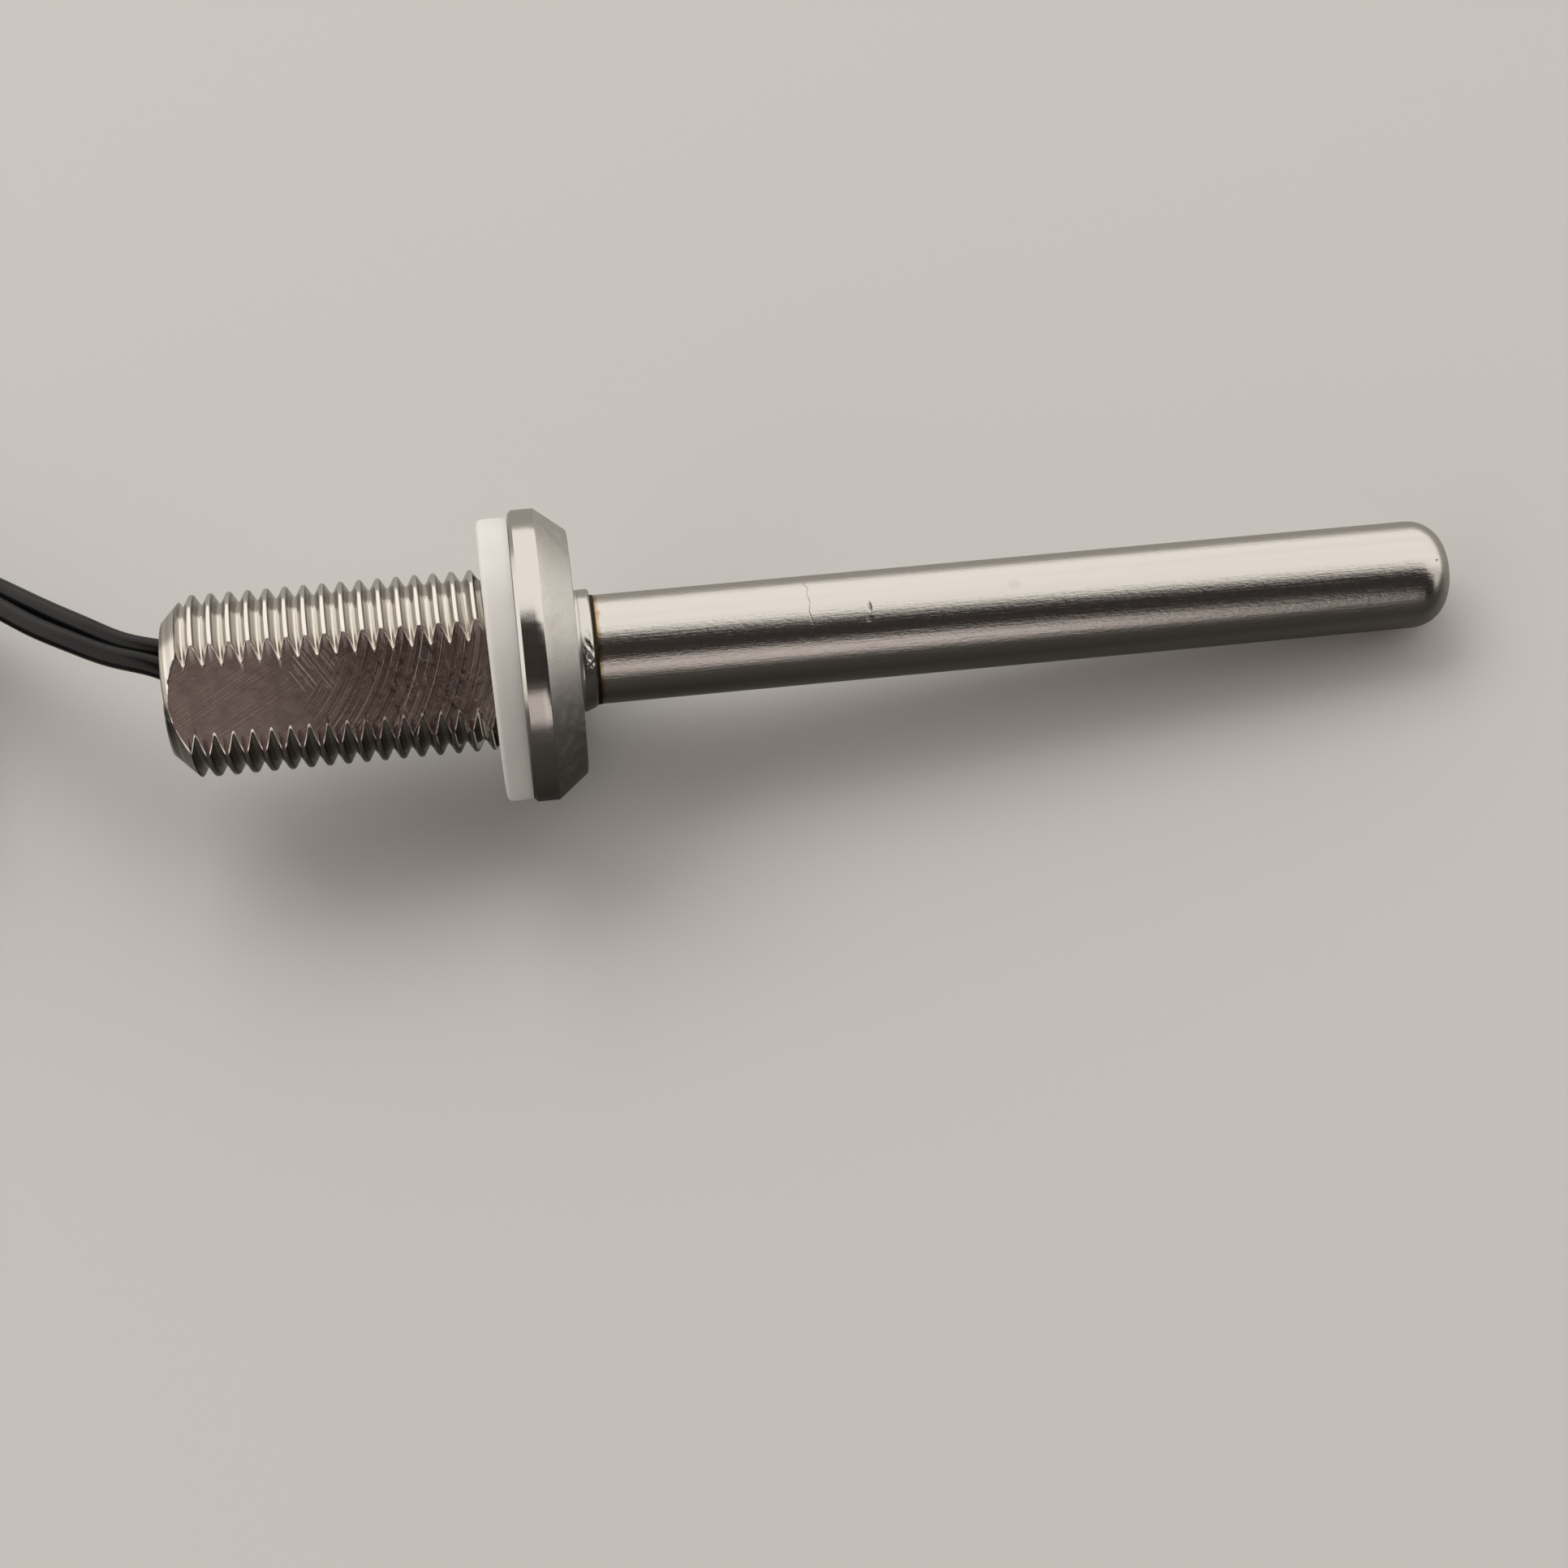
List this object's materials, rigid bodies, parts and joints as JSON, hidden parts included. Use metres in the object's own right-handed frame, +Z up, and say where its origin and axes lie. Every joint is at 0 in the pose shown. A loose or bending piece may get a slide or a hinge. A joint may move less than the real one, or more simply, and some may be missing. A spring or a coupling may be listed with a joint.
{
  "type": "rtd probe with threaded head",
  "caption": "Immersion temperature probe: closed steel sheath welded to a flanged threaded stud with two flats, with a sealing ring and two black leads.",
  "frame": {"origin": "on the surface the probe lies on, under the middle of the steel probe's length", "axes": "+X along the probe in plan, towards the closed tip; +Z up; the probe's axis slopes 5.9 degrees down to the tip, because it lies on its flange and its tip"},
  "size_m": [0.1084, 0.0258, 0.0161],
  "materials": {
    "turned_steel": "turned stainless steel, satin, with a milled flat on each side of the thread",
    "sheath_steel": "drawn stainless tube, fine lengthwise polish, a few light scratches",
    "weld": "small rippled weld, dark with brown heat tint",
    "silicone": "translucent whitish silicone, dull",
    "lead_jacket": "smooth glossy black PVC",
    "tie": "black plastic band",
    "tinned_copper": "tinned stranded copper, bright",
    "resin": "dark potting resin",
    "compound": "white heat-conducting compound",
    "woven_sleeve": "braided glass-fibre sleeve, varnished",
    "alumina": "white fired alumina",
    "cover_glass": "fired cover glass over the platinum film",
    "shrink_sleeve": "red shrunk sleeve"
  },
  "bodies": {
    "root": {"threaded_body": "turned_steel", "sealing_ring": "silicone", "sheath": "sheath_steel", "sheath_weld": "weld", "potting_plug": "resin", "insulating_sleeve": "woven_sleeve", "tip_compound": "compound", "element_chip": "alumina", "element_glass": "cover_glass", "element_wire_1": "tinned_copper", "element_wire_2": "tinned_copper", "splice_crimp_1": "tinned_copper", "splice_crimp_2": "tinned_copper", "splice_shrink_1": "shrink_sleeve", "splice_shrink_2": "shrink_sleeve", "lead_core_1": "tinned_copper", "lead_core_2": "tinned_copper", "lead_jacket_1": "lead_jacket", "lead_jacket_2": "lead_jacket", "lead_1": "lead_jacket", "lead_2": "lead_jacket", "lead_coil": "lead_jacket", "coil_tie": "tie", "lead_tail_1": "lead_jacket", "lead_tail_2": "lead_jacket", "bare_end_1": "tinned_copper", "bare_end_2": "tinned_copper"}
  },
  "joints": []
}
